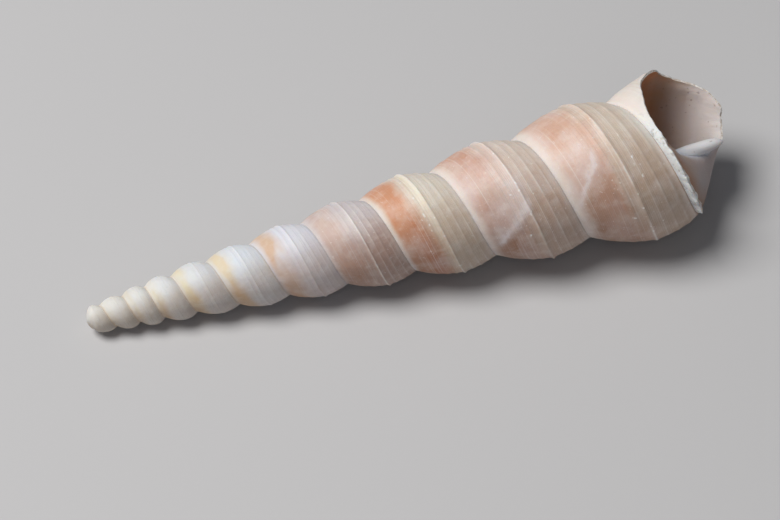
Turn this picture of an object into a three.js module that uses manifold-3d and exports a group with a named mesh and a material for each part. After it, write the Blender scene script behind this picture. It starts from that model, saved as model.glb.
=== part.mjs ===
// An empty, beach-worn tower shell ("auger shell"), lying on its side.
// It grew as one piece, so it is one solid: a tube that winds round an axis and widens by a fixed
// ratio each turn. The hollow opens at the broken mouth. Millimetres, +Z up, resting on Z = 0.
import * as THREE from "three";
import { mergeVertices } from "three/addons/utils/BufferGeometryUtils.js";
import Module from "manifold-3d";

const wasm = await Module();
wasm.setup();

// ---------- driving dimensions ----------
// Distances along the axis are counted from the virtual apex, where the cone of the shell would end.
const SHELL_LENGTH = 58; // from the worn tip to the rim of the mouth
const WHORL_RATIO = 1.18; // every whorl is this much larger than the one before it
const SPAN_RATIO = 6.41; // distance of the rim over distance of the tip
const TIP_DISTANCE = SHELL_LENGTH / (SPAN_RATIO - 1);
const RIM_DISTANCE = TIP_DISTANCE * SPAN_RATIO;
const SEAM_DISTANCE = RIM_DISTANCE * 0.8503; // distance of the seam at growth 0

// All of these are per unit of distance, because the shell keeps its shape as it grows.
const SEAM_RADIUS = 0.0944;
const BULGE_RADIUS = 0.1161;
const WALL = 0.0062;
const PARTITION = 0.0045; // half the thickness of the wall that two turns share
const COLUMELLA_RADIUS = 0.011; // the pillar that the tube winds round
const BASE_DEPTH = 0.026; // how far the base bulges past the lower seam
const BASE_ARC = Math.PI * 0.75; // the bulge rises and turns back over this much of a sine wave
const HOLLOW_INNER_RADIUS = 0.055; // corners on the roof and the floor of the hollow
const HOLLOW_OUTER_RADIUS = 0.088;

// ---------- growth ----------
// Growth is counted in turns from the place where the last seam passes the shell's upper back.
const STEPS_PER_TURN = 24;
const STEP_ANGLE = (2 * Math.PI) / STEPS_PER_TURN;
const SEAM_AZIMUTH = THREE.MathUtils.degToRad(138); // 0 faces -Y, 90 degrees is up
const FIRST_AZIMUTH = THREE.MathUtils.degToRad(142.5); // puts a flat strip of facets underneath
const GROWTH_OFFSET = (SEAM_AZIMUTH - FIRST_AZIMUTH) / (2 * Math.PI);
const TIP_STEP = -253; // the oldest growth that is left at the worn tip
const TUBE_END_STEP = -11; // the tube is whole up to here
const LIP_END_STEP = 11; // the last sliver of the outer wall ends here
const HOLLOW_STEPS = 4 * STEPS_PER_TURN; // the narrow turns beyond these are filled

// The oldest turns are packed closer together, rounder and slimmer than the later ones.
const EARLY_CROWDING = 0.45; // in turns
const CROWDED_GROWTH = [-9.8, -6.6];
const EARLY_GROWTH = [-8.5, -5];
const SLIM_DISTANCE = [11, 17];
const SLIMNESS = 0.07;

const { smoothstep, lerp } = THREE.MathUtils;
const growthOf = (step) => GROWTH_OFFSET + step / STEPS_PER_TURN;
const azimuthAt = (step) => FIRST_AZIMUTH - step * STEP_ANGLE;

function sizeAt(step) {
  const growth = growthOf(step);
  const crowding = EARLY_CROWDING * (1 - smoothstep(growth, ...CROWDED_GROWTH));
  return SEAM_DISTANCE * WHORL_RATIO ** (growth + crowding);
}

// The axis leans up so that the cone of the shell lies on its side.
const LEAN = Math.atan(BULGE_RADIUS * Math.cos(STEP_ANGLE / 2));
const AXIS = new THREE.Vector3(Math.cos(LEAN), 0, Math.sin(LEAN));
const UPWARD = new THREE.Vector3(-Math.sin(LEAN), 0, Math.cos(LEAN));
const SIDEWARD = new THREE.Vector3(0, -1, 0);

// A point at a distance along the axis and a radius from it, in the half-plane of one step.
function place(step, distance, radius) {
  const azimuth = azimuthAt(step);
  return new THREE.Vector3()
    .addScaledVector(AXIS, distance)
    .addScaledVector(SIDEWARD, radius * Math.cos(azimuth))
    .addScaledVector(UPWARD, radius * Math.sin(azimuth));
}

// ---------- cross-section of one whorl, for a seam at distance 1 ----------
// [place across, radius over distance, the same for the early whorls]: 0 is the upper seam and 1 is
// the lower one.
const WHORL_OUTLINE = [
  [0, SEAM_RADIUS, 0.088],
  [0.08, 0.1012, 0.0955],
  [0.2, 0.1088, 0.106],
  [0.38, 0.1144, 0.1144],
  [0.56, BULGE_RADIUS, BULGE_RADIUS],
  [0.74, 0.1108, 0.1112],
  [0.88, 0.102, 0.101],
  [1, SEAM_RADIUS, 0.088],
];
const BASE_SPLITS = [1.33, 1.66, 2];

// The base runs from the lower seam at 1 to the axis at 2, and bulges forward on the way.
const bulgeAt = (inward) => BASE_DEPTH * Math.sin(inward * BASE_ARC);

function basePoint(across) {
  const inward = across - 1;
  return [across, WHORL_RATIO * (1 + bulgeAt(inward)), WHORL_RATIO * SEAM_RADIUS * (1 - inward)];
}

const SECTION = [
  ...WHORL_OUTLINE.map(([across, radius]) => {
    const distance = WHORL_RATIO ** across;
    return [across, distance, radius * distance];
  }),
  ...BASE_SPLITS.map(basePoint),
];
const LOWER_SEAM = WHORL_OUTLINE.length - 1;
const AXIS_END = SECTION.length - 1;

// The section is straight between its points, as the faces of the solid are.
function sectionAt(across) {
  const next = Math.max(1, SECTION.findIndex(([place]) => place >= across));
  const [from, distance0, radius0] = SECTION[next - 1];
  const [to, distance1, radius1] = SECTION[next];
  const share = (across - from) / (to - from);
  return new THREE.Vector2(lerp(distance0, distance1, share), lerp(radius0, radius1, share));
}

// [distance, radius] of a corner on the outer wall. The lower seam of a turn is the upper seam of
// the next turn.
function wallPoint(step, row) {
  const [across, radius, earlyRadius] = WHORL_OUTLINE[row];
  const distance = sizeAt(step) ** (1 - across) * sizeAt(step + STEPS_PER_TURN) ** across;
  const share = smoothstep(growthOf(step), ...EARLY_GROWTH);
  const slim = 1 - SLIMNESS * (1 - smoothstep(distance, ...SLIM_DISTANCE));
  return new THREE.Vector2(distance, distance * slim * lerp(earlyRadius, radius, share));
}

// ---------- closed meshes from faces ----------
function solidOf(points, faces) {
  const geometry = new THREE.BufferGeometry().setFromPoints(points);
  geometry.setIndex(faces.flat());
  const merged = mergeVertices(geometry, 1e-4);
  const build = (triVerts) =>
    new wasm.Manifold(
      new wasm.Mesh({
        numProp: 3,
        vertProperties: merged.attributes.position.array,
        triVerts: new Uint32Array(triVerts),
      }),
    );
  const indices = [...merged.index.array];
  const solid = build(indices);
  return solid.volume() > 0 ? solid : build(indices.reverse());
}

const quad = (a, b, c, d) => [
  [a, b, c],
  [a, c, d],
];

// Triangles over a flat ring of points, turned the way the ring runs. flat holds every point's
// [distance, radius] in the half-plane.
function fill(ring, flat) {
  const outline = ring.map((index) => flat[index]);
  const faces = THREE.ShapeUtils.triangulateShape(outline, []);
  const { area } = THREE.ShapeUtils;
  const turned = area(outline) * area(faces[0].map((corner) => outline[corner])) < 0;
  return faces.map((face) => {
    const corners = face.map((corner) => ring[corner]);
    return turned ? corners.reverse() : corners;
  });
}

// A tube of equal rings, closed by flat ends. rings[i] holds the 3-D points of ring i.
function tubeSolid(rings, flatRings) {
  const width = rings[0].length;
  const points = rings.flat();
  const faces = [];
  for (let row = 0; row < rings.length - 1; row++) {
    for (let column = 0; column < width; column++) {
      const a = row * width + column;
      const b = row * width + ((column + 1) % width);
      faces.push(...quad(a, b, b + width, a + width));
    }
  }
  const flat = flatRings.flat();
  const first = rings[0].map((_, column) => column);
  const last = first.map((column) => (rings.length - 1) * width + column);
  faces.push(...fill(first.reverse(), flat), ...fill(last, flat));
  return solidOf(points, faces);
}

// ---------- the whole tube, as if it were filled ----------
// Strips of the outer wall wind on so that the lower seam of one turn is the upper seam of the next.
// The last turn has nothing below it, so its base shows.
function filledSpire() {
  const points = [];
  const flat = [];
  const known = new Map();
  const corner = (step, row) => {
    const seamStep = row === LOWER_SEAM ? step + STEPS_PER_TURN : step;
    const seamRow = row === LOWER_SEAM ? 0 : row;
    const key = seamStep + ":" + seamRow;
    if (!known.has(key)) {
      const [, distance, radius] = SECTION[seamRow];
      const spot =
        seamRow < LOWER_SEAM
          ? wallPoint(seamStep, seamRow)
          : new THREE.Vector2(distance, radius).multiplyScalar(sizeAt(seamStep));
      known.set(key, points.length);
      points.push(place(seamStep, spot.x, spot.y));
      flat.push(spot);
    }
    return known.get(key);
  };
  const faces = [];
  const strip = (step, firstRow, lastRow) => {
    for (let row = firstRow; row < lastRow; row++) {
      faces.push(
        ...quad(corner(step, row), corner(step + 1, row), corner(step + 1, row + 1), corner(step, row + 1)),
      );
    }
  };
  for (let step = TIP_STEP; step < TUBE_END_STEP; step++) strip(step, 0, LOWER_SEAM);
  const baseStart = TUBE_END_STEP - STEPS_PER_TURN;
  for (let step = baseStart; step < TUBE_END_STEP; step++) strip(step, LOWER_SEAM, AXIS_END);

  // The flat face across the tube where it ends.
  const end = [];
  for (let row = 0; row <= AXIS_END; row++) end.push(corner(TUBE_END_STEP, row));
  for (let step = TUBE_END_STEP - 1; step >= baseStart; step--) end.push(corner(step, AXIS_END));
  for (let row = AXIS_END - 1; row > LOWER_SEAM; row--) end.push(corner(baseStart, row));
  const endFaces = fill(end.reverse(), flat);

  // The worn tip: a fan over the first turn's seam, and the face where the first strip starts.
  const tip = points.length;
  points.push(place(0, TIP_DISTANCE, 0));
  flat.push(new THREE.Vector2(TIP_DISTANCE, 0));
  for (let step = TIP_STEP; step < TIP_STEP + STEPS_PER_TURN; step++) {
    faces.push([tip, corner(step + 1, 0), corner(step, 0)]);
  }
  const start = [tip];
  for (let row = 0; row <= LOWER_SEAM; row++) start.push(corner(TIP_STEP, row));
  return solidOf(points, [...faces, ...endFaces, ...fill(start, flat)]);
}

// ---------- the hollow ----------
// [distance, radius] round the hollow, for a seam at distance 1, kept a wall away from the outside.
function hollowOutline() {
  const baseShift = (radius) => bulgeAt(1 - radius / SEAM_RADIUS);
  const roof = (radius) => new THREE.Vector2(1 + baseShift(radius) + PARTITION, radius);
  const floor = (radius) =>
    new THREE.Vector2(WHORL_RATIO * (1 + baseShift(radius / WHORL_RATIO) - PARTITION), radius);
  const outer = [0.2, 0.38, 0.56, 0.74, 0.88].map((across) => {
    const point = sectionAt(across);
    return new THREE.Vector2(point.x, point.y - WALL * WHORL_RATIO);
  });
  return [
    roof(COLUMELLA_RADIUS),
    roof(HOLLOW_INNER_RADIUS),
    roof(HOLLOW_OUTER_RADIUS),
    ...outer,
    floor(HOLLOW_OUTER_RADIUS),
    floor(HOLLOW_INNER_RADIUS),
    floor(COLUMELLA_RADIUS * WHORL_RATIO),
  ];
}

function hollow() {
  const outline = hollowOutline();
  const rings = [];
  const flatRings = [];
  for (let step = TUBE_END_STEP - HOLLOW_STEPS; step <= TUBE_END_STEP + 1; step++) {
    const scaled = outline.map((point) => point.clone().multiplyScalar(sizeAt(step)));
    flatRings.push(scaled);
    rings.push(scaled.map((point) => place(step, point.x, point.y)));
  }
  return tubeSolid(rings, flatRings);
}

// ---------- what is left of the last half turn ----------
// [growth, place across that the wall still reaches]: the rim of the mouth runs from the pillar at
// the back, over the outer wall, and down in front to a sliver along the seam.
const BROKEN_EDGE = [
  [-0.52, 1.99],
  [-0.44, 1.98],
  [-0.39, 1.97],
  [-0.33, 1.86],
  [-0.265, 1.68],
  [-0.215, 1.52],
  [-0.175, 1.43],
  [-0.138, 1.34],
  [-0.122, 1.15],
  [-0.103, 0.91],
  [-0.076, 0.7],
  [-0.017, 0.48],
  [0.04, 0.25],
  [0.082, 0.16],
  [0.142, 0.085],
  [0.22, 0.06],
  [0.4, 0.055],
  [0.46, 0.04],
];
const LIP_COLUMNS = 10;
const SLOPE_REACH = 0.02; // the slope of the sheet is read this far before and behind a point
const ROOT_DEPTH = 0.4; // in walls, behind the seam
const ROOT_INSET = 0.8; // in walls, inside the seam

function edgeAt(growth) {
  const next = Math.max(1, BROKEN_EDGE.findIndex(([place]) => place >= growth));
  const [from, edge0] = BROKEN_EDGE[next - 1];
  const [to, edge1] = BROKEN_EDGE[next];
  return lerp(edge0, edge1, (growth - from) / (to - from));
}

// The sheet of wall: its outer face follows the whorl, and its inner face lies a wall inside it.
// The seam side starts a little inside the older whorl, so that the two grow together.
function brokenLip() {
  const rings = [];
  const flatRings = [];
  for (let step = TUBE_END_STEP - 1; step <= LIP_END_STEP; step++) {
    const size = sizeAt(step);
    const outside = [];
    const inside = [];
    for (let column = 0; column <= LIP_COLUMNS; column++) {
      const across = (edgeAt(growthOf(step)) * column) / LIP_COLUMNS;
      const point = sectionAt(across);
      const ahead = sectionAt(Math.min(across + SLOPE_REACH, 2));
      const behind = sectionAt(Math.max(across - SLOPE_REACH, 0));
      const along = ahead.sub(behind).normalize();
      outside.push(point);
      inside.unshift(new THREE.Vector2(point.x + along.y * WALL, point.y - along.x * WALL));
    }
    const root = new THREE.Vector2(1 - WALL * ROOT_DEPTH, SEAM_RADIUS - WALL * ROOT_INSET);
    const ring = [root, ...outside, ...inside.slice(0, -1)];
    const scaled = ring.map((point) => point.clone().multiplyScalar(size));
    flatRings.push(scaled);
    rings.push(scaled.map((point) => place(step, point.x, point.y)));
  }
  return tubeSolid(rings, flatRings);
}

// ---------- round pieces on the axis ----------
const ROUND_SIDES = 12;

// A solid turned from a profile of [radius, distance], which starts and ends on the axis.
function turned(profile) {
  const geometry = new THREE.LatheGeometry(profile, ROUND_SIDES);
  geometry.applyMatrix4(new THREE.Matrix4().makeBasis(SIDEWARD, AXIS, UPWARD));
  geometry.deleteAttribute("normal");
  geometry.deleteAttribute("uv");
  const merged = mergeVertices(geometry, 1e-4);
  const points = [];
  for (let i = 0; i < merged.attributes.position.count; i++) {
    points.push(new THREE.Vector3().fromBufferAttribute(merged.attributes.position, i));
  }
  const faces = [];
  for (let i = 0; i < merged.index.count; i += 3) {
    const face = [0, 1, 2].map((corner) => merged.index.getX(i + corner));
    if (new Set(face).size === 3) faces.push(face);
  }
  return solidOf(points, faces);
}

const KNOB_RADIUS = 0.95;
const KNOB_RINGS = 8;

// The pillar shows where the wall is missing.
const PILLAR_START = RIM_DISTANCE * 0.9;
const PILLAR_END = RIM_DISTANCE * 0.978;
// [share of the way from start to end, share of the pillar's radius]
const PILLAR_PROFILE = [
  [0, 0],
  [0, 1.1],
  [0.5, 1],
  [0.92, 0.85],
  [1, 0],
];

function barePillar() {
  const radius = COLUMELLA_RADIUS * PILLAR_START;
  const profile = PILLAR_PROFILE.map(
    ([along, width]) => new THREE.Vector2(radius * width, lerp(PILLAR_START, PILLAR_END, along)),
  );
  return turned(profile);
}

// The tip is worn to a round knob.
function wornKnob() {
  const profile = [];
  for (let i = 0; i <= KNOB_RINGS; i++) {
    const angle = (Math.PI * i) / KNOB_RINGS;
    const along = TIP_DISTANCE + KNOB_RADIUS * (1 - Math.cos(angle));
    profile.push(new THREE.Vector2(KNOB_RADIUS * Math.sin(angle), along));
  }
  return turned(profile);
}

// ---------- assembly ----------
const spire = filledSpire();
const lumen = hollow();
const lip = brokenLip();
const grown = spire.subtract(lumen).add(lip).add(barePillar()).add(wornKnob());

function geometryOf(solid) {
  const mesh = solid.getMesh();
  return new THREE.BufferGeometry()
    .setAttribute("position", new THREE.BufferAttribute(mesh.vertProperties, 3))
    .setIndex(new THREE.BufferAttribute(mesh.triVerts, 1));
}

const shellMaterial = new THREE.MeshStandardMaterial({
  color: 0xd8c3b0,
  roughness: 0.5,
  metalness: 0,
});
const shell = new THREE.Mesh(geometryOf(grown), shellMaterial);
shell.name = "shell";

// The origin goes under the middle of the shell, on the surface that it rests on.
const box = new THREE.Box3().setFromObject(shell);
const centre = box.getCenter(new THREE.Vector3());
shell.position.set(-centre.x, -centre.y, -box.min.z);

const group = new THREE.Group();
group.add(shell);
export default group;
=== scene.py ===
"""An empty, beach-worn tower shell that lies on its side, with its mouth broken open.

The shell is one sheet that winds round an axis and widens by a fixed ratio each turn. A place on it
has a growth, counted in turns, and an across, which is 0 at the upper seam of a whorl, 1 at the lower
seam and 2 on the axis. Both are kept as attributes, and the finishes follow them.
"""

import math

import bpy
import numpy as np
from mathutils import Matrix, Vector, noise


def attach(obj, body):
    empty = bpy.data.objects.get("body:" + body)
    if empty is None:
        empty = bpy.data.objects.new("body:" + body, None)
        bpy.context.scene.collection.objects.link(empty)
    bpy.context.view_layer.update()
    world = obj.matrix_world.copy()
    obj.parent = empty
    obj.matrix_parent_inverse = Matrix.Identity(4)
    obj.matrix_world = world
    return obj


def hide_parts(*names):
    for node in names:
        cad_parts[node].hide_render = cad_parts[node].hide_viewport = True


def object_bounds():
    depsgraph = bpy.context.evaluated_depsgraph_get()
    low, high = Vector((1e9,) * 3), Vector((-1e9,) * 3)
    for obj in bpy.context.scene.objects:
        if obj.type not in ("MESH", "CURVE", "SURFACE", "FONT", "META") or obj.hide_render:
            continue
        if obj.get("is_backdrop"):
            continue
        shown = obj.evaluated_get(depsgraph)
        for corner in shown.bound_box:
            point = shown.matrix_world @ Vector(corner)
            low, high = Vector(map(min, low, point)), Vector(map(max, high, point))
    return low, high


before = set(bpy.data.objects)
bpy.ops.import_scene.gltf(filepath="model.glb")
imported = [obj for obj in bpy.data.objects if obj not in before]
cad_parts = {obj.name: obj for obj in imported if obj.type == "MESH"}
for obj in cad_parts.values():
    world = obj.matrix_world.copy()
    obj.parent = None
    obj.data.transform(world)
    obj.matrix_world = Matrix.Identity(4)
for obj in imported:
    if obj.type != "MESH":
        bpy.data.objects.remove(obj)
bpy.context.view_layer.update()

# ---------- sizes, in metres ----------
SHELL_LENGTH = 0.058  # along the axis, from the worn tip to the rim of the mouth
WHORL_RATIO = 1.18  # every whorl is this much larger than the one before it
SPAN_RATIO = 6.41  # distance of the rim over distance of the tip
TIP_DISTANCE = SHELL_LENGTH / (SPAN_RATIO - 1)
RIM_DISTANCE = TIP_DISTANCE * SPAN_RATIO
SEAM_DISTANCE = RIM_DISTANCE * 0.8503  # distance of the last seam at growth 0
PILLAR_START = SEAM_DISTANCE * 0.78  # deep in the hollow
PILLAR_END = RIM_DISTANCE * 0.978  # bare in the mouth
VIRTUAL_APEX = np.array([-0.039450, -0.000276, 0.000000])  # where the cone would end

# Per unit of distance from the virtual apex.
SEAM_RADIUS = 0.0944
BULGE_RADIUS = 0.1155
RESTING_RADIUS = 0.1161  # the cone that touches the floor
WALL = 0.0062
BASE_DEPTH = 0.026  # how far the base bulges past the lower seam
BASE_ARC = math.pi * 0.75  # the bulge rises and turns back over this much of a sine wave
RIDGE_HEIGHT = 0.006  # outwards
RIDGE_PUSH = 0.0012  # towards the mouth
COLUMELLA_RADIUS = 0.0077
PILLAR_OFFSET = 0.003  # how far the bare pillar stands off the axis
PILLAR_SIDE = math.radians(-35)  # and to which side

SEAM_AZIMUTH = math.radians(138)  # of the last seam at growth 0; 0 is the front, 90 the top
RESTING_TURN = math.radians(7.5)  # half the angle between the facets that touch the floor
LEAN = math.atan(RESTING_RADIUS * math.cos(RESTING_TURN))
AXIS = np.array([math.cos(LEAN), 0.0, math.sin(LEAN)])
UPWARD = np.array([-math.sin(LEAN), 0.0, math.cos(LEAN)])
SIDEWARD = np.array([0.0, -1.0, 0.0])

# ---------- growth, in turns ----------
FIRST_GROWTH = -11.75  # inside the worn tip
WHOLE_GROWTH = -0.44  # the sheet is whole up to here
LAST_GROWTH = 0.442  # the last sliver of the wall ends here
BASE_FROM_GROWTH = -2.6  # the base of the turns before this is never seen
HIDDEN_ACROSS = 1.04  # across, where that base starts
EARLY_CROWDING = 0.45  # how many turns closer to the mouth the oldest turns are packed
CROWDED_GROWTH = (-9.8, -6.6)
EARLY_GROWTH = (-8.5, -5)  # the whorls change from the early outline to the later one
SLIM_DISTANCE = (0.011, 0.017)  # the oldest turns are slimmer
SLIMNESS = 0.07
ROUNDED_GROWTH = (-1.5, -1.05)  # from here on the edge between wall and base is rounded
ROUNDING = 0.15  # how far across
WORN_CAP = 0.0008  # depth of the round that the tip is worn to
FREE_EDGE = -0.04  # across, where the sheet starts under the whorl before it

# ---------- fineness of the mesh ----------
TIP_STEPS_PER_TURN = 46
BODY_STEPS_PER_TURN = 106
RIM_STEPS_PER_TURN = 230
CLOSEST_ROWS = 0.009  # across
PILLAR_RINGS = 90
PILLAR_SIDES = 40
ON_AXIS = 1e-5  # points closer to the axis than this are on it
SHEET_MERGE = 1.5e-6
PILLAR_MERGE = 1e-6
SOFT_ANGLE = math.radians(48)  # sharper edges stay crisp

# Radius of the outline, from the upper seam to the lower one.
WHORL_OUTLINE = [
    (-0.04, 0.0850),
    (0.0, SEAM_RADIUS),
    (0.03, 0.0962),
    (0.07, 0.0995),
    (0.13, 0.1040),
    (0.22, 0.1082),
    (0.38, 0.1134),
    (0.5, 0.1151),
    (0.59, BULGE_RADIUS),
    (0.68, 0.1122),
    (0.78, 0.1078),
    (0.88, 0.1018),
    (0.94, 0.0977),
    (0.97, 0.0957),
    (1.0, SEAM_RADIUS),
]
# The early whorls are rounder, with deeper seams.
EARLY_OUTLINE = [
    (-0.04, 0.0800),
    (0.0, 0.0880),
    (0.03, 0.0888),
    (0.08, 0.0928),
    (0.15, 0.1000),
    (0.25, 0.1076),
    (0.38, 0.1135),
    (0.5, 0.1153),
    (0.62, 0.1144),
    (0.74, 0.1105),
    (0.85, 0.1030),
    (0.93, 0.0938),
    (0.97, 0.0890),
    (1.0, 0.0880),
]

# Raised threads: where across the whorl, how high per unit of distance, how wide across.
THREADS = [
    (0.16, 0.0005, 0.014),
    (0.27, 0.0007, 0.014),
    (0.38, 0.0009, 0.015),
    (0.485, 0.0011, 0.014),
    (0.59, 0.0025, 0.017),
    (0.7, 0.0007, 0.012),
    (0.8, 0.0008, 0.013),
    (0.905, 0.0007, 0.012),
]

# Healed breaks: (growth, across) where the line starts and ends, and how high it stands.
SCARS = [
    ((-1.636, 0.18), (-1.725, 0.6), 0.0005),
    ((-0.70, 0.12), (-0.78, 0.38), 0.0006),
]

# The broken edge: growth, and how far across the sheet still reaches.
BROKEN_EDGE = [
    (-0.44, 2.0),
    (-0.39, 1.97),
    (-0.33, 1.86),
    (-0.265, 1.68),
    (-0.215, 1.52),
    (-0.175, 1.43),
    (-0.138, 1.34),
    (-0.122, 1.15),
    (-0.103, 0.91),
    (-0.076, 0.7),
    (-0.017, 0.48),
    (0.04, 0.25),
    (0.082, 0.16),
    (0.142, 0.07),
    (0.22, 0.045),
    (0.4, 0.045),
    (0.442, 0.03),
]


# ---------- shape ----------
def smooth(value, low, high):
    """0 below low, 1 above high, smooth between."""
    share = np.clip((value - low) / (high - low), 0, 1)
    return share * share * (3 - 2 * share)


def bell(value, centre, width):
    """1 at the centre, falling smoothly to 0 about two widths away."""
    return np.exp(-(((value - centre) / width) ** 2))


def through(knots, x):
    """A smooth curve through the knots, read at x."""
    xs, ys = np.array(knots).T
    rise = np.diff(ys) / np.diff(xs)
    slope = np.concatenate([[rise[0]], (rise[1:] + rise[:-1]) / 2, [rise[-1]]])
    x = np.clip(x, xs[0], xs[-1])
    i = np.clip(np.searchsorted(xs, x) - 1, 0, len(xs) - 2)
    step = xs[i + 1] - xs[i]
    t = (x - xs[i]) / step
    return (
        (1 + 2 * t) * (1 - t) ** 2 * ys[i]
        + t * (1 - t) ** 2 * step * slope[i]
        + t * t * (3 - 2 * t) * ys[i + 1]
        - t * t * (1 - t) * step * slope[i + 1]
    )


def ripple(*parts):
    """Smooth noise between -1 and 1 for arrays of coordinates."""
    return np.array([noise.noise(Vector(p)) for p in zip(*np.broadcast_arrays(*parts))])


def crowded(growth):
    """Growth as the distance shows it: the oldest turns are packed closer together."""
    return growth + EARLY_CROWDING * (1 - smooth(growth, *CROWDED_GROWTH))


def place(growth, distance, radius):
    """Points from growth, distance along the axis and distance from the axis."""
    azimuth = SEAM_AZIMUTH - 2 * math.pi * growth
    return (
        VIRTUAL_APEX
        + distance[:, None] * AXIS
        + (radius * np.cos(azimuth))[:, None] * SIDEWARD
        + (radius * np.sin(azimuth))[:, None] * UPWARD
    )


def edge_at(growth):
    """How far across the sheet reaches: along the broken edge, or all the way to the axis."""
    edge = through(BROKEN_EDGE, growth)
    chips = ripple(growth * 46, 3.1, 0) * 0.016 + ripple(growth * 110, 9.7, 0) * 0.011
    lumps = 0.3 + ripple(growth * 40, 1.1, 0) + 0.6 * ripple(growth * 95, 6.3, 0)
    lumps = lumps * smooth(growth, 0.15, 0.22)
    amount = smooth(growth, -0.3, -0.2) * (1 - 0.75 * smooth(growth, -0.06, 0))
    return np.where(growth > WHOLE_GROWTH, edge + chips * amount + 0.014 * lumps, 2.0)


def sharp_points(growth, across):
    """Distance and radius of the outer face, with a corner where the base starts."""
    inward = np.clip(across - 1, 0, 1)
    wall = np.clip(across, FREE_EDGE, 1)
    size = SEAM_DISTANCE * WHORL_RATIO ** (crowded(growth) * (1 - wall) + crowded(growth + 1) * wall)
    early = 1 - smooth(growth, *EARLY_GROWTH)
    outline = early * through(EARLY_OUTLINE, wall) + (1 - early) * through(WHORL_OUTLINE, wall)
    bulge = 1 + BASE_DEPTH * np.sin(inward * BASE_ARC)
    distance = size * bulge
    radius = size * outline * (1 - inward)
    return distance, radius * (1 - SLIMNESS * (1 - smooth(distance, *SLIM_DISTANCE)))


def sheet_points(growth, across):
    """Distance and radius of the smooth outer face of the sheet, rounded at the lower seam."""
    reach = smooth(across, 1 - 2 * ROUNDING, 1) * (1 - smooth(across, 1, 1 + 2.2 * ROUNDING))
    reach = ROUNDING * reach * smooth(growth, *ROUNDED_GROWTH)
    samples = [sharp_points(growth, across + reach * shift) for shift in np.linspace(-1, 1, 9)]
    return tuple(np.mean(samples, axis=0))


def relief(growth, across):
    """How far the worn outside stands out from the smooth face, per unit of distance."""
    on_wall = smooth(across, 0, 0.05) * (1 - smooth(across, 0.97, 1.02))
    crispness = 0.45 + 0.55 * smooth(growth, -8, -3) - 0.3 * smooth(growth, -1.1, -0.6)
    threads = sum(high * bell(across, centre, wide) for centre, high, wide in THREADS)
    beading = 1 + 0.4 * ripple(growth * 42, across * 30, 1.5)
    # Lines where the mouth used to be lean forward below the bulge.
    mouth_line = growth + 0.035 * np.cos((across - 0.35) * 4.2)
    lines = 0.0004 * ripple(mouth_line * 34, 5.5, 0) + 0.0003 * ripple(mouth_line * 85, 8.5, 0)
    swell = 0.0012 * ripple(growth * 3.1, across * 2.2, 7.7)
    welt = 0.0006 * bell(across, 0.045, 0.03)
    for start, end, high in SCARS:
        line = np.interp(across, [start[1], end[1]], [start[0], end[0]])
        reach = smooth(across, start[1] - 0.08, start[1])
        reach = reach * (1 - smooth(across, end[1], end[1] + 0.08))
        hollow = smooth(growth, line, line + 0.02) * (1 - smooth(growth, line + 0.02, line + 0.2))
        lines = lines + high * reach * (bell(growth, line, 0.014) - 0.8 * hollow)
    return on_wall * (threads * crispness * beading + lines + swell + welt)


def ridge_share(growth, across):
    """1 on the crest of the chalky ridge that is left of the wall along the last seam."""
    along = smooth(growth, 0.17, 0.25) * (1 - smooth(growth, 0.42, 0.445))
    return along * np.sin(np.clip(across / np.maximum(edge_at(growth), 0.02), 0, 1) * math.pi)


def outer_points(growth, across):
    """The outer face with its threads, growth lines, healed breaks and chalky ridge."""
    distance, radius = sheet_points(growth, across)
    lumps = 1 + 0.7 * ripple(growth * 38, across * 12, 4.2)
    lumps = lumps + 0.5 * ripple(growth * 105, across * 50, 2.2)
    ridge = ridge_share(growth, across) * lumps
    raised = relief(growth, across) + RIDGE_HEIGHT * ridge
    return distance * (1 + RIDGE_PUSH * ridge), radius + distance * raised


def worn_tip(distance, radius):
    """Distance and radius after the tip is worn round."""
    depth = np.clip((TIP_DISTANCE + WORN_CAP - distance) / WORN_CAP, 0, 1)
    return np.maximum(distance, TIP_DISTANCE), radius * np.sqrt(1 - depth**2)


def thickness_of(growth, across):
    """The wall is thinner at the broken edge and thicker in the ridge."""
    distance = sheet_points(growth, across)[0]
    thinned = 1 - 0.5 * bell(across, edge_at(growth), 0.12) * (growth > -0.3)
    return distance * WALL * (thinned + 0.25 * ridge_share(growth, across))


def rows_across():
    """The rows of the grid. The higher threads get rows of their own."""
    wall = list(np.linspace(0.05, 1.0, 24))
    for centre, _, wide in THREADS[3:]:
        wall += [centre + wide * k for k in (-1.4, -0.7, 0, 0.7, 1.4)]
    base = [1.03, 1.08, 1.15, 1.25, 1.37, 1.5, 1.63, 1.76, 1.88, 1.96, 2.0]
    rows = sorted([FREE_EDGE, 0.0, 0.015, 0.03, *wall, *base])
    kept = [rows[0]]
    for row in rows[1:]:
        if row - kept[-1] > CLOSEST_ROWS:
            kept.append(row)
    return np.array(kept)


def growth_columns():
    """The columns of the grid. Their steps get finer towards the mouth."""
    growth = [FIRST_GROWTH]
    while growth[-1] < WHOLE_GROWTH:
        share = (growth[-1] - FIRST_GROWTH) / (WHOLE_GROWTH - FIRST_GROWTH)
        steps_per_turn = TIP_STEPS_PER_TURN + share * (BODY_STEPS_PER_TURN - TIP_STEPS_PER_TURN)
        growth.append(growth[-1] + 1 / steps_per_turn)
    growth[-1] = WHOLE_GROWTH
    rim = np.arange(WHOLE_GROWTH, LAST_GROWTH, 1 / RIM_STEPS_PER_TURN)[1:]
    return np.concatenate([growth, rim, [LAST_GROWTH]])


def deselect():
    bpy.ops.object.select_all(action="DESELECT")


def points_of(mesh):
    flat = np.zeros(len(mesh.vertices) * 3)
    mesh.vertices.foreach_get("co", flat)
    return flat.reshape(-1, 3)


def read_value(mesh, name):
    value = np.zeros(len(mesh.vertices), np.float32)
    mesh.attributes[name].data.foreach_get("value", value)
    return value.astype(float)


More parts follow.
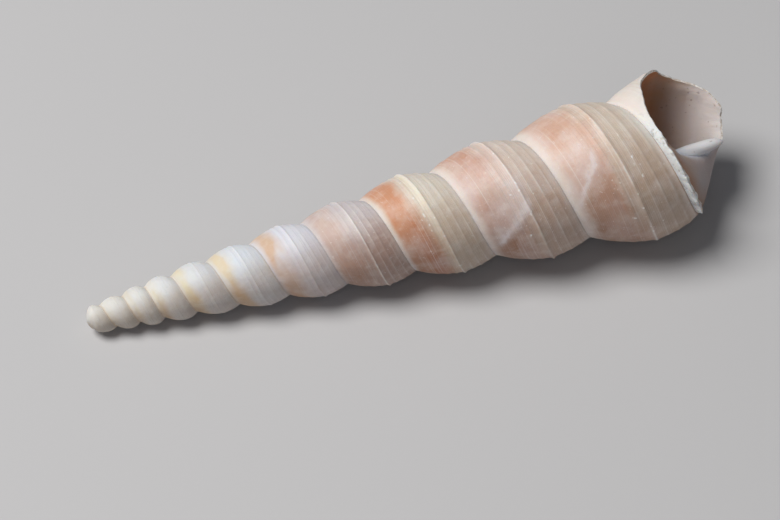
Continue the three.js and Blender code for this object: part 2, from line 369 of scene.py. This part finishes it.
def select_points(piece, wanted):
    """Selects the wanted points, ready for edit mode."""
    bpy.ops.object.mode_set(mode="EDIT")
    bpy.ops.mesh.select_mode(type="VERT")
    bpy.ops.mesh.select_all(action="DESELECT")
    bpy.ops.object.mode_set(mode="OBJECT")
    piece.data.vertices.foreach_set("select", np.asarray(wanted, bool))


def keep_values(mesh, **values):
    """Keeps values on the points, for the finishes and for later steps."""
    for name, value in values.items():
        attribute = mesh.attributes.new(name, "FLOAT", "POINT")
        attribute.data.foreach_set("value", np.asarray(value, np.float32))


def apply_modifiers(piece):
    deselect()
    piece.select_set(True)
    bpy.context.view_layer.objects.active = piece
    for modifier in list(piece.modifiers):
        bpy.ops.object.modifier_apply(modifier=modifier.name)


def wound_sheet():
    """The sheet of the whorls and the base, broken off along its edge."""
    columns = growth_columns()
    rows = rows_across()
    deselect()
    bpy.ops.mesh.primitive_grid_add(x_subdivisions=len(columns) - 1, y_subdivisions=len(rows) - 1, size=1)
    sheet = bpy.context.object
    sheet.name = "auger_shell"
    flat = points_of(sheet.data) + 0.5
    growth = np.interp(flat[:, 0], np.linspace(0, 1, len(columns)), columns)
    across = np.interp(flat[:, 1], np.linspace(0, 1, len(rows)), rows)
    across = np.minimum(across, edge_at(growth))
    distance, radius = worn_tip(*sheet_points(growth, across))
    sheet.data.vertices.foreach_set("co", place(growth, distance, radius).ravel())
    keep_values(sheet.data, growth=growth, across=across)

    # The base of the early turns is deep inside and is never seen.
    hidden = (growth < BASE_FROM_GROWTH) & (across > HIDDEN_ACROSS)
    select_points(sheet, hidden)
    bpy.ops.object.mode_set(mode="EDIT")
    bpy.ops.mesh.delete(type="VERT")
    bpy.ops.object.mode_set(mode="OBJECT")

    # Points that fall together on the axis or on the broken edge become one. The seams stay apart.
    growth, across = read_value(sheet.data, "growth"), read_value(sheet.data, "across")
    radius = worn_tip(*sheet_points(growth, across))[1]
    select_points(sheet, (radius < ON_AXIS) | (growth > WHOLE_GROWTH))
    bpy.ops.object.mode_set(mode="EDIT")
    bpy.ops.mesh.remove_doubles(threshold=SHEET_MERGE)
    bpy.ops.object.mode_set(mode="OBJECT")

    growth, across = read_value(sheet.data, "growth"), read_value(sheet.data, "across")
    thickness = thickness_of(growth, across)
    thickest = thickness.max()
    group = sheet.vertex_groups.new(name="wall")
    for index, share in enumerate(thickness / thickest):
        group.add([index], float(share), "REPLACE")
    wall = sheet.modifiers.new("wall", "SOLIDIFY")
    wall.thickness = thickest
    wall.offset = -1
    wall.vertex_group = "wall"
    wall.material_offset = 1
    wall.material_offset_rim = 2
    return sheet


def carve_outside(sheet, outer_count):
    """Moves the outer points, which come first in the mesh, out to the threads and the ridge."""
    growth = read_value(sheet.data, "growth")[:outer_count]
    across = read_value(sheet.data, "across")[:outer_count]
    distance, radius = worn_tip(*outer_points(growth, across))
    points = points_of(sheet.data)
    points[:outer_count] = place(growth, distance, radius)
    sheet.data.vertices.foreach_set("co", points.ravel())
    sheet.data.update()


def ringed_rod():
    """An upright cylinder with rings along it, closed by fans."""
    deselect()
    bpy.ops.mesh.primitive_cylinder_add(vertices=PILLAR_SIDES, radius=1, depth=1, end_fill_type="TRIFAN")
    rod = bpy.context.object
    rod.name = "pillar"
    bpy.ops.object.mode_set(mode="EDIT")
    bpy.ops.mesh.select_mode(type="EDGE")
    bpy.ops.mesh.select_all(action="DESELECT")
    bpy.ops.object.mode_set(mode="OBJECT")
    ends = points_of(rod.data)[:, 2]
    for edge in rod.data.edges:
        edge.select = bool(abs(ends[edge.vertices[0]] - ends[edge.vertices[1]]) > 0.5)
    bpy.ops.object.mode_set(mode="EDIT")
    bpy.ops.mesh.subdivide(number_cuts=PILLAR_RINGS - 1)
    bpy.ops.object.mode_set(mode="OBJECT")
    return rod


def pillar():
    """The columella that the tube winds round, flared where each turn of the base meets it."""
    rod = ringed_rod()
    local = points_of(rod.data)
    share = local[:, 2] + 0.5
    azimuth = np.arctan2(local[:, 1], local[:, 0])
    distance = PILLAR_START + (PILLAR_END - PILLAR_START) * share
    turn = (SEAM_AZIMUTH - azimuth) / (2 * math.pi)
    base_at_axis = SEAM_DISTANCE * WHORL_RATIO * (1 + BASE_DEPTH * math.sin(BASE_ARC))
    base_growth = np.log(distance / base_at_axis) / math.log(WHORL_RATIO)
    behind = np.mod(base_growth - turn, 1)
    ahead = 1 - behind
    next_is_there = 1 - smooth(base_growth + ahead, -0.42, -0.34)  # broken away at the mouth
    flare = 1 + 0.45 * bell(behind, 0, 0.1) + 2.4 * bell(ahead, 0, 0.12) * next_is_there
    # It is thinner deep inside and round at its bare end, and the middles of both fans stay put.
    widening = 0.5 + 0.5 * smooth(share, 0.66, 0.86)
    foot = np.sqrt(1 - np.clip((share - 0.92) / 0.08, 0, 1) ** 2 * 0.98)
    off_centre = np.hypot(local[:, 0], local[:, 1]) > 0.01
    radius = COLUMELLA_RADIUS * distance * flare * widening * foot * off_centre
    growth = base_growth - behind
    # The bare part stands a little to one side.
    bent = PILLAR_OFFSET * smooth(share, 0.1, 0.6)
    bent = bent + COLUMELLA_RADIUS * (1.25 - widening) * smooth(share, 0.3, 0.6)
    points = place(turn, distance, radius)
    points += (distance * bent * math.cos(PILLAR_SIDE))[:, None] * SIDEWARD
    points += (distance * bent * math.sin(PILLAR_SIDE))[:, None] * UPWARD
    rod.data.vertices.foreach_set("co", points.ravel())
    keep_values(rod.data, growth=growth, across=2 + 0 * growth)
    bpy.ops.object.mode_set(mode="EDIT")
    bpy.ops.mesh.select_all(action="SELECT")
    bpy.ops.mesh.remove_doubles(threshold=PILLAR_MERGE)
    bpy.ops.mesh.normals_make_consistent(inside=False)
    bpy.ops.object.mode_set(mode="OBJECT")
    return rod


# ---------- finishes ----------
class Wire:
    """A number that varies over a surface. Arithmetic on it adds Math nodes."""

    def __init__(self, finish, socket):
        self.finish = finish
        self.socket = socket

    def maths(self, operation, *inputs):
        made = self.finish.node("ShaderNodeMath", {"operation": operation}, dict(enumerate(inputs)))
        return Wire(self.finish, made.outputs[0])

    def __add__(self, other):
        return self.maths("ADD", self, other)

    __radd__ = __add__

    def __mul__(self, other):
        return self.maths("MULTIPLY", self, other)

    __rmul__ = __mul__

    def __sub__(self, other):
        return self.maths("SUBTRACT", self, other)

    def __rsub__(self, other):
        return self.maths("SUBTRACT", other, self)

    def __truediv__(self, other):
        return self.maths("DIVIDE", self, other)

    def floor(self):
        return self.maths("FLOOR", self)

    def clamp(self):
        made = self.finish.node("ShaderNodeClamp", {}, {"Value": self})
        return Wire(self.finish, made.outputs[0])

    def bell(self, centre, width):
        """1 at the centre, falling smoothly to 0 about two widths away."""
        away = (self - centre) / width
        return self.maths("EXPONENT", away * away * -1)

    def rise(self, low, high):
        """0 below low, 1 above high, smooth between. With low above high it falls."""
        settings = {"interpolation_type": "SMOOTHSTEP"}
        inputs = {"Value": self, "From Min": low, "From Max": high}
        made = self.finish.node("ShaderNodeMapRange", settings, inputs)
        return Wire(self.finish, made.outputs["Result"])


class Finish:
    """A material, and the few ways in which its nodes are made."""

    def __init__(self, name):
        self.material = bpy.data.materials.new(name)
        self.material.use_nodes = True
        self.tree = self.material.node_tree
        self.shader = self.tree.nodes["Principled BSDF"]
        coordinates = self.node("ShaderNodeTexCoord", {}, {})
        self.place = coordinates.outputs["Object"]

    def node(self, kind, settings, inputs):
        """A node of a kind, with its settings and the values or links of its sockets."""
        made = self.tree.nodes.new(kind)
        for name, value in settings.items():
            if name == "stops":
                self.set_stops(made.color_ramp, value)
            else:
                setattr(made, name, value)
        for name, value in inputs.items():
            self.feed(made.inputs[name], value)
        return made

    def feed(self, socket, value):
        if isinstance(value, Wire):
            self.tree.links.new(value.socket, socket)
        elif isinstance(value, bpy.types.NodeSocket):
            self.tree.links.new(value, socket)
        else:
            socket.default_value = value

    def set_stops(self, ramp, stops):
        """Sets the places before the colours, because the ramp sorts its stops as they move."""
        while len(ramp.elements) < len(stops):
            ramp.elements.new(0.5)
        for element, (position, _) in zip(ramp.elements, stops):
            element.position = position
        for element, (position, colour) in zip(ramp.elements, stops):
            element.position = position
            element.color = colour

    def value(self, name):
        """A value that the mesh keeps on its points."""
        return Wire(self, self.node("ShaderNodeAttribute", {"attribute_name": name}, {}).outputs["Fac"])

    def ramp(self, wire, low, high, stops):
        """A colour that follows the stops, given as (value, colour), between low and high."""
        share = (wire - low) / (high - low)
        scaled = [((value - low) / (high - low), colour) for value, colour in stops]
        made = self.node("ShaderNodeValToRGB", {"stops": scaled}, {"Fac": share})
        return made.outputs["Color"]

    def level(self, wire, low, high, stops):
        """A number that follows the stops between low and high."""
        colours = [(value, (number, number, number, 1)) for value, number in stops]
        return Wire(self, self.ramp(wire, low, high, colours))

    def noise(self, scale, detail, roughness, place=None):
        """Cloudy values between 0 and 1, on the piece itself or on a place of their own."""
        inputs = {
            "Vector": self.place if place is None else place,
            "Scale": scale,
            "Detail": detail,
            "Roughness": roughness,
        }
        return Wire(self, self.node("ShaderNodeTexNoise", {}, inputs).outputs["Fac"])

    def at(self, x, y=0.0, z=0.0):
        """A place in a pattern that follows growth and across."""
        return self.node("ShaderNodeCombineXYZ", {}, {"X": x, "Y": y, "Z": z}).outputs[0]

    def mix(self, share, under, over):
        """Lays one colour over another."""
        made = self.node("ShaderNodeMix", {"data_type": "RGBA"}, {0: share, 6: under, 7: over})
        return made.outputs[2]

    def bump(self, height, distance):
        return self.node("ShaderNodeBump", {}, {"Height": height, "Distance": distance}).outputs[0]

    def finish(self, **sockets):
        """Feeds the shader, where an underscore stands for a space, and gives the material."""
        for name, value in sockets.items():
            self.feed(self.shader.inputs[name.replace("_", " ")], value)
        return self.material


def paint(red, green, blue):
    """A colour from everyday 0 to 255 values."""
    return (*(((c / 255 + 0.055) / 1.055) ** 2.4 for c in (red, green, blue)), 1)


CHALK = paint(240, 237, 234)
ORANGE = paint(206, 140, 98)
OCHRE = paint(226, 190, 138)
LILAC = paint(172, 158, 156)
TAN = paint(196, 150, 128)
# Brown of the side that lies down: partly the shell's own colour, partly painted shade.
UNDERSIDE_BROWN_AND_SHADE = paint(146, 102, 84)
# Painted shade for deep inside the hollow.
PAINTED_DEEP_SHADE = paint(132, 92, 58)

# Light goes a little way into the lime.
SOFT_LIME = {
    "Subsurface_Weight": 0.3,
    "Subsurface_Radius": (1.0, 0.6, 0.35),
    "Subsurface_Scale": 0.001,
}

# The tables below run over this growth, from the tip to the mouth.
COLOURED_GROWTH = (-11, 0.5)
# How far across the warm band of each whorl reaches.
BAND_END = [(-11, 0.2), (-6, 0.25), (-4.7, 0.3), (-2.7, 0.41), (-0.7, 0.5), (0.5, 0.5)]
# Colour of the lower half of the whorls.
LOWER_COLOURS = [
    (-11, paint(239, 230, 218)),
    (-9.7, paint(236, 228, 218)),
    (-8.7, paint(235, 229, 222)),
    (-7.7, paint(231, 227, 225)),
    (-6.7, paint(222, 220, 222)),
    (-5.7, paint(224, 226, 232)),
    (-4.7, paint(220, 217, 226)),
    (-3.7, paint(202, 190, 190)),
    (-2.7, paint(222, 211, 196)),
    (-1.7, paint(210, 191, 180)),
    (-0.75, paint(211, 197, 182)),
    (-0.35, paint(210, 196, 182)),
    (-0.12, paint(222, 211, 204)),
    (0.5, paint(228, 222, 216)),
]
# Colour of the band below the upper seam.
UPPER_COLOURS = [
    (-11, paint(234, 226, 216)),
    (-9.7, paint(232, 222, 208)),
    (-8.7, paint(232, 220, 201)),
    (-7.7, paint(232, 218, 194)),
    (-6.7, paint(230, 214, 184)),
    (-5.7, paint(228, 206, 178)),
    (-4.7, paint(208, 170, 146)),
    (-3.7, paint(197, 172, 164)),
    (-2.7, paint(204, 138, 96)),
    (-1.7, paint(200, 164, 150)),
    (-0.75, paint(208, 170, 150)),
    (-0.4, paint(206, 178, 164)),
    (-0.12, paint(222, 211, 202)),
    (0.5, paint(228, 222, 216)),
]


class WornOutside(Finish):
    """The outside of the whorls. Each step lays more colours over those of the step before."""

    def __init__(self):
        super().__init__("worn_outside")
        self.growth = self.value("growth")
        self.across = self.value("across")
        self.clouds = self.noise(330, 3, 0.55)
        self.fine_clouds = self.noise(900, 3, 0.6)
        self.pits = self.noise(1700, 3, 0.6)
        self.young = self.growth.rise(-5.2, -3.4) * (1 - self.growth.rise(-0.45, -0.2))
        self.ridge = self.growth.rise(0.1, 0.2)
        self.base = self.across.rise(0.99, 1.04)

    def banded(self):
        """A warm band fills the upper part of each whorl. It is wider on the young whorls."""
        growth, across = self.growth, self.across
        drift = self.noise(1, 2, 0.5, self.at(growth * 5.5, across * 2.5))
        band_end = self.level(growth, *COLOURED_GROWTH, BAND_END)
        inside_band = band_end - across + 0.2 * (drift - 0.5) + 0.14 * (self.clouds - 0.5)
        band = inside_band.rise(-0.2, 0.16) * across.rise(-0.05, 0.16)
        band = band * (0.45 + 0.9 * drift.rise(0.3, 0.62)) * (0.7 + 0.6 * self.clouds)
        lower = self.ramp(growth, *COLOURED_GROWTH, LOWER_COLOURS)
        upper = self.ramp(growth, *COLOURED_GROWTH, UPPER_COLOURS)
        colour = self.mix(band.clamp(), lower, upper)
        keel_pale = across.bell(0.55, 0.055) * growth.rise(-3.4, -3) * (1 - growth.rise(-2.3, -2)) * 0.7
        return self.mix(keel_pale, colour, paint(238, 226, 206))

    def stained_and_painted_shade(self, colour):
        """The side that lies down is browner, most of all on the young whorls: partly the shell's own
        mauve-brown, partly painted shade. A warm painted shade lies on that side of every whorl.
        """
        growth, across = self.growth, self.across
        turn = growth - growth.floor()
        later = (turn + 0.1 * (across - 0.35)).rise(0.16, 0.34) * (1 - turn.rise(0.6, 0.9))
        mottled = 0.45 + 0.9 * self.clouds
        on_mauve = growth.rise(-4.6, -3.6) * (1 - growth.rise(-3.1, -2.9) * 0.7 * across.rise(0.4, 0.55))
        on_mauve = on_mauve * (1 - growth.rise(-0.45, -0.2))
        # Brown on the side that lies down of the young whorls: partly their own mauve-brown, partly
        # painted shade.
        colour = self.mix((later * on_mauve * mottled * 0.7).clamp(), colour, UNDERSIDE_BROWN_AND_SHADE)
        # Painted shade: a warm brown darkens the side that lies down on every whorl.
        colour = self.mix(later * 0.5 * (1 - on_mauve * 0.4), colour, paint(166, 132, 106))

        pink = self.noise(1, 2, 0.5, self.at(growth * 7, across * 3.5, 4.4))
        pink_field = pink.rise(0.44, 0.66) * self.young * growth.rise(-3, -2)
        pink_field = pink_field * (1 - across.rise(0.5, 0.7)) * (1 - later * 0.6)
        colour = self.mix(pink_field * 0.5, colour, paint(222, 200, 196))

        rust_spots = self.noise(520, 3, 0.6).rise(0.56, 0.7) * across.bell(0.28, 0.16)
        rust_spots = rust_spots * later * growth.rise(-5.6, -4.6)
        colour = self.mix(rust_spots * on_mauve * 0.6, colour, paint(150, 96, 56))
        deep_band = across.bell(0.32, 0.13) * later * growth.rise(-3.1, -2.9) * growth.rise(-2.3, -2.5)
        colour = self.mix((deep_band * 0.55 * mottled).clamp(), colour, paint(172, 98, 58))
        old_stain = later * across.bell(0.16, 0.16) * growth.rise(-4.2, -4.8) * growth.rise(-9.5, -8)
        return self.mix(old_stain * 0.4 * mottled, colour, paint(190, 138, 92))

    def striped(self, colour):
        """Thin stripes run round the whorl, and streaks run across it. Chalk clouds lie over both."""
        growth, across = self.growth, self.across
        stripes = self.noise(1, 3, 0.6, self.at(growth * 1.8, across * 42))
        stripe_amount = across.rise(0.03, 0.12) * (1 - across.rise(0.52, 0.62)) * growth.rise(-6, -3)
        colour = self.mix(stripes.rise(0.52, 0.74) * stripe_amount * 0.35, colour, TAN)
        colour = self.mix(stripes.rise(0.46, 0.28) * stripe_amount * 0.3, colour, CHALK)
        streaks = self.noise(1, 2, 0.5, self.at(growth * 60 + 2.2 * across, across * 3))
        colour = self.mix(streaks.rise(0.55, 0.8) * 0.12, colour, CHALK)
        colour = self.mix(self.fine_clouds.rise(0.4, 0.7) * 0.16, colour, CHALK)
        rubbed_field = self.clouds.rise(0.5, 0.7) * self.young * 0.22
        return self.mix(rubbed_field, colour, paint(226, 212, 208))

    def chalk_and_keel_highlight(self, colour):
        """Pale lines and chalk beads lie on the threads, and chalk dust between them. The pale line on
        the keel thread is partly chalk and partly a painted highlight.
        """
        growth, across = self.growth, self.across
        # The pale line on the keel thread is partly chalk, partly a painted highlight; those on the lower
        # threads are chalk.
        threads = across.bell(0.59, 0.010) * 0.6
        for centre, _, _ in THREADS[5:]:
            threads = threads + across.bell(centre, 0.009) * 0.3
        thread_zone = across.bell(0.59, 0.015) + across.bell(0.7, 0.013) + across.bell(0.485, 0.013)
        beads = self.noise(2100, 1, 0.5).rise(0.65, 0.72) * growth.rise(-4.5, -2) * thread_zone
        chalk_lines_and_keel_highlight = threads * self.clouds.rise(0.3, 0.7) * growth.rise(-7, -4)
        colour = self.mix((chalk_lines_and_keel_highlight + beads * 0.8).clamp(), colour, CHALK)
        dust = self.noise(4200, 1, 0.5).rise(0.7, 0.76) * self.young * 0.3
        return self.mix(dust, colour, CHALK)

    def seamed(self, colour):
        """A pale band lies under the seam of the young whorls, and ochre in the seams of the old ones."""
        growth, across = self.growth, self.across
        width = 0.05 + 0.05 * growth.rise(-3, -1)
        under_seam = (1 - across.rise(0.2 * width, 1.6 * width)) + across.rise(0.92, 1) * 0.6
        under_seam = under_seam * (1 - across.rise(1, 1.02)) * (0.55 + 0.6 * self.fine_clouds)
        amount = (under_seam * growth.rise(-5, -2) * 0.85).clamp()
        colour = self.mix(amount, colour, paint(232, 219, 213))
        ochre_seam = (across.bell(0.99, 0.03) + across.bell(0.02, 0.05)) * growth.rise(-4.5, -6.5) * 0.3
        return self.mix(ochre_seam, colour, OCHRE)

    def healed(self, colour):
        """Healed breaks show as thin white lines with a pale field before them."""
        growth, across = self.growth, self.across
        for (growth_a, across_a), (growth_b, across_b), _ in SCARS:
            wander = 0.05 * (self.fine_clouds - 0.5)
            lean = (growth_b - growth_a) / (across_b - across_a)
            line = growth - (growth_a + (across - across_a) * lean) + wander
            reach = across.rise(across_a - 0.1, across_a) * (1 - across.rise(across_b, across_b + 0.08))
            field = line.rise(-0.14, -0.02) * (1 - line.rise(-0.015, 0.01))
            pale = (line.bell(0, 0.012) * 0.5 + field * 0.3) * (0.4 + self.clouds)
            colour = self.mix((pale * reach).clamp(), colour, paint(234, 226, 228))
        return colour

    def with_base(self, colour):
        """The base is brown-lilac, browner towards the outside, partly its own orange-brown and partly
        painted shade, and pale on the pillar.
        """
        growth, across = self.growth, self.across
        # Browner towards the outer edge of the base: partly its own orange-brown, partly painted shade.
        base_colour = self.mix(across.rise(1.45, 1.08), LILAC, paint(150, 112, 88))
        inside_mouth = 1 - growth.rise(-0.66, -0.56)
        cavity = self.mix(across.rise(1.05, 1.6), paint(176, 116, 70), paint(182, 162, 152))
        base_colour = self.mix(inside_mouth, base_colour, cavity)
        colour = self.mix(self.base, colour, base_colour)
        colour = self.mix(across.rise(1.72, 1.9), colour, paint(214, 214, 220))
        # Callus whitens the lower edge of the whorl behind the last seam.
        callus = across.rise(0.84, 0.98) * growth.rise(-1.12, -1.0)
        callus = callus * (1 - growth.rise(-0.86, -0.7)) * (0.4 + self.clouds)
        return self.mix((callus * (1 - self.base)).clamp(), colour, paint(234, 228, 220))

    def ridged(self, colour):
        """The ridge along the last seam is pitted chalk."""
        chalky = self.mix(self.pits.rise(0.34, 0.5), paint(186, 186, 186), paint(226, 227, 226))
        return self.mix(self.ridge, colour, chalky)

    def grain(self):
        """Height of the growth lines, the fine lines round the whorl, the grain and the pits."""
        growth, across = self.growth, self.across
        growth_lines = self.noise(1, 2, 0.6, self.at(growth * 105 + 4 * across, across * 2))
        striae = self.noise(1, 2, 0.6, self.at(growth * 3, across * 110))
        fine_grain = self.noise(5200, 3, 0.65)
        height = growth_lines * 0.4 + striae * 0.5 + fine_grain * 0.25
        return height + self.pits * growth.rise(0.18, 0.24) * 2


def outside_finish():
    look = WornOutside()
    colour = look.stained_and_painted_shade(look.banded())
    colour = look.chalk_and_keel_highlight(look.striped(colour))
    colour = look.healed(look.seamed(colour))
    colour = look.ridged(look.with_base(colour))
    roughness = 0.34 + 0.22 * look.fine_clouds + 0.3 * look.ridge
    roughness = roughness + 0.12 * (1 - look.growth.rise(-8, -3))
    return look.finish(
        Base_Color=colour,
        Roughness=roughness.clamp(),
        Normal=look.bump(look.grain(), 0.00006),
        Specular_IOR_Level=0.45,
        **SOFT_LIME,
    )


def inside_finish():
    look = Finish("smooth_inside")
    growth, across = look.value("growth"), look.value("across")
    clouds = look.noise(420, 3, 0.55)
    depth = look.ramp(
        across + 0.2 * (clouds - 0.5),
        0,
        2,
        [
            (0, paint(186, 130, 84)),
            (0.5, paint(192, 140, 96)),
            (0.7, paint(184, 152, 124)),
            (0.82, paint(200, 182, 170)),
            (1.0, paint(210, 200, 197)),
            (1.35, paint(206, 199, 197)),
            (1.75, paint(216, 214, 216)),
            (2, paint(212, 212, 216)),
        ],
    )
    colour = look.mix(growth.rise(-0.02, 0.05) * (1 - across.rise(0.4, 0.6)) * 0.3, depth, ORANGE)
    # Painted shade: the inside darkens to brown deeper in the hollow.
    deep = (1 - growth.rise(-1.1, -0.4)) * (1 - across.rise(1.6, 1.95))
    colour = look.mix(deep * 0.5, colour, PAINTED_DEEP_SHADE)
    colour = look.mix(clouds.rise(0.4, 0.75) * 0.2 * (1 - across.rise(1.7, 1.95)), colour, LILAC)
    specks = look.noise(2600, 1, 0.4).rise(0.7, 0.76)
    colour = look.mix(specks * 0.4, colour, paint(120, 92, 78))
    lines = look.noise(1, 2, 0.5, look.at(growth * 60, across * 3))
    return look.finish(
        Base_Color=colour,
        Roughness=(0.3 + 0.18 * clouds).clamp(),
        Normal=look.bump(lines + look.noise(3500, 2, 0.6) * 0.5, 0.00004),
        **SOFT_LIME,
    )


def fracture_finish():
    look = Finish("broken_edge")
    pits = look.noise(3200, 3, 0.7)
    colour = look.mix(pits.rise(0.4, 0.62), paint(206, 192, 178), CHALK)
    return look.finish(
        Base_Color=colour,
        Roughness=(0.6 + 0.25 * pits).clamp(),
        Normal=look.bump(pits, 0.00012),
    )


# ---------- the shell ----------
def make_shell():
    """Winds the sheet, gives it its wall and relief, and joins the pillar to it."""
    sheet = wound_sheet()
    for material in (outside_finish(), inside_finish(), fracture_finish()):
        sheet.data.materials.append(material)
    outer_count = len(sheet.data.vertices)
    apply_modifiers(sheet)
    carve_outside(sheet, outer_count)
    rod = pillar()
    rod.data.materials.append(sheet.data.materials[1])
    deselect()
    rod.select_set(True)
    sheet.select_set(True)
    bpy.context.view_layer.objects.active = sheet
    bpy.ops.object.join()
    bpy.ops.object.shade_smooth_by_angle(angle=SOFT_ANGLE)
    sheet.vertex_groups.clear()
    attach(sheet, "root")
    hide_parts("shell")


# ---------- stage ----------
CAMERA_SPOT = Vector((-0.040137, -0.133048, 0.154200))
CAMERA_AIM = Vector((-0.002177, 0.000507, 0.0))


def area_light(name, spot, aim, size, power, colour):
    lamp = bpy.data.lights.new(name, "AREA")
    lamp.shape = "DISK"
    lamp.size = size
    lamp.energy = power
    lamp.color = colour
    holder = bpy.data.objects.new(name, lamp)
    bpy.context.scene.collection.objects.link(holder)
    holder.location = spot
    holder.rotation_euler = (Vector(aim) - Vector(spot)).to_track_quat("-Z", "Y").to_euler()


def make_stage(floor_height):
    deselect()
    bpy.ops.mesh.primitive_plane_add(size=3, location=(0, 0, floor_height))
    floor = bpy.context.object
    floor.name = "floor"
    pale = Finish("pale_floor")
    floor.data.materials.append(pale.finish(Base_Color=paint(188, 188, 190), Roughness=0.9))
    floor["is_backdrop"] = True
    area_light("key", (-0.24, 0.04, 0.45), (0, 0, 0), 0.3, 2.8, (1.0, 0.98, 0.95))
    area_light("front_fill", (-0.15, -0.45, 0.35), (0, 0, 0), 0.4, 0.3, (0.93, 0.96, 1.0))
    world = bpy.data.worlds.new("studio")
    bpy.context.scene.world = world
    world.use_nodes = True
    background = world.node_tree.nodes["Background"]
    background.inputs["Color"].default_value = (0.9, 0.93, 1.0, 1)
    background.inputs["Strength"].default_value = 0.1


def make_camera():
    lens = bpy.data.cameras.new("camera")
    lens.lens = 110.8
    lens.sensor_width = 36
    lens.clip_start = 0.01  # the shell is small, so the camera stands close
    camera = bpy.data.objects.new("camera", lens)
    bpy.context.scene.collection.objects.link(camera)
    camera.location = CAMERA_SPOT
    camera.rotation_euler = (CAMERA_AIM - CAMERA_SPOT).to_track_quat("-Z", "Y").to_euler()
    bpy.context.scene.camera = camera


make_shell()
make_stage(floor_height=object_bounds()[0][2])
make_camera()
bpy.context.scene.view_settings.view_transform = "Standard"
